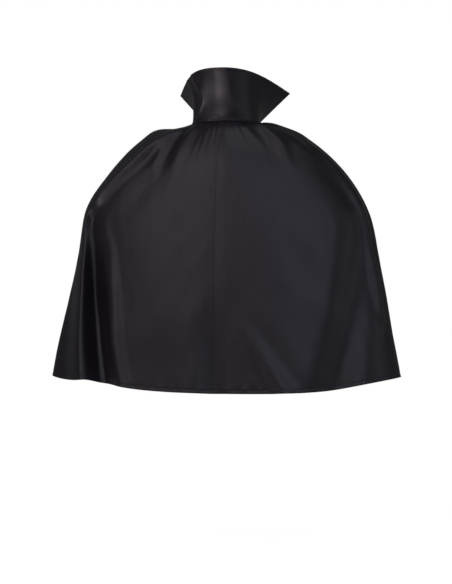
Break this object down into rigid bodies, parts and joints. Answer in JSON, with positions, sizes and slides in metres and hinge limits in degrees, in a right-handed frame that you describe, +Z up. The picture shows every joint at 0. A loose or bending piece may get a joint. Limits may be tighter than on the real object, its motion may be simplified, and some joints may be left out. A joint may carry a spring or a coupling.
{
  "type": "stand collar costume cape",
  "caption": "Child's short black satin vampire-style costume cape with a tall pointed stand-up collar lined in red, drawn in the shape it takes when worn.",
  "frame": {"origin": "centre of the neck opening, level with the neck seam at centre back", "axes": "+Z up, +Y towards the wearer's back, +X towards the wearer's left"},
  "size_m": [0.84, 0.315, 0.7643],
  "materials": {
    "black_satin": "glossy polyester satin",
    "red_satin": "glossy polyester satin",
    "white_nonwoven": "matt bonded nonwoven",
    "black_tape": "woven polyester tape",
    "black_hook_and_loop": "matt nylon pile",
    "white_ribbon": "soft woven ribbon"
  },
  "bodies": {
    "cape": {"shell_left": "black_satin", "shell_right": "black_satin", "collar_outer": "black_satin", "collar_stiffener": "white_nonwoven", "collar_lining": "red_satin", "neck_tape": "black_tape", "under_tab": "black_satin", "loop_patch": "black_hook_and_loop", "closure_tab_root": "black_satin"},
    "front_left": {"front_left": "black_satin"},
    "front_right": {"front_right": "black_satin"},
    "closure_tab": {"closure_tab": "black_satin", "hook_patch": "black_hook_and_loop"},
    "hanger_loop": {"hanger_loop": "black_tape"},
    "care_label": {"care_label": "white_ribbon"}
  },
  "joints": [
    {"name": "left_front_opens", "type": "hinge", "parent": "cape", "child": "front_left", "pos_m": [0.022, -0.058, -0.04], "axis": [-0.4329, 0.1043, 0.8954], "range_deg": [0, 100]},
    {"name": "right_front_opens", "type": "hinge", "parent": "cape", "child": "front_right", "pos_m": [-0.022, -0.058, -0.04], "axis": [-0.4329, -0.1043, -0.8954], "range_deg": [0, 100]},
    {"name": "closure_tab_opens", "type": "hinge", "parent": "cape", "child": "closure_tab", "pos_m": [0.0205, -0.0575, -0.045], "axis": [0, 0.2079, 0.9781], "range_deg": [0, 105]},
    {"name": "hanger_loop_flips_up", "type": "hinge", "parent": "cape", "child": "hanger_loop", "pos_m": [0, 0.0515, -0.0095], "axis": [-1, 0, 0], "range_deg": [0, 150]},
    {"name": "care_label_flips", "type": "hinge", "parent": "cape", "child": "care_label", "pos_m": [0.05363, 0.03621, -0.01116], "axis": [-0.7436, 0.6687, 0], "range_deg": [0, 110]}
  ]
}
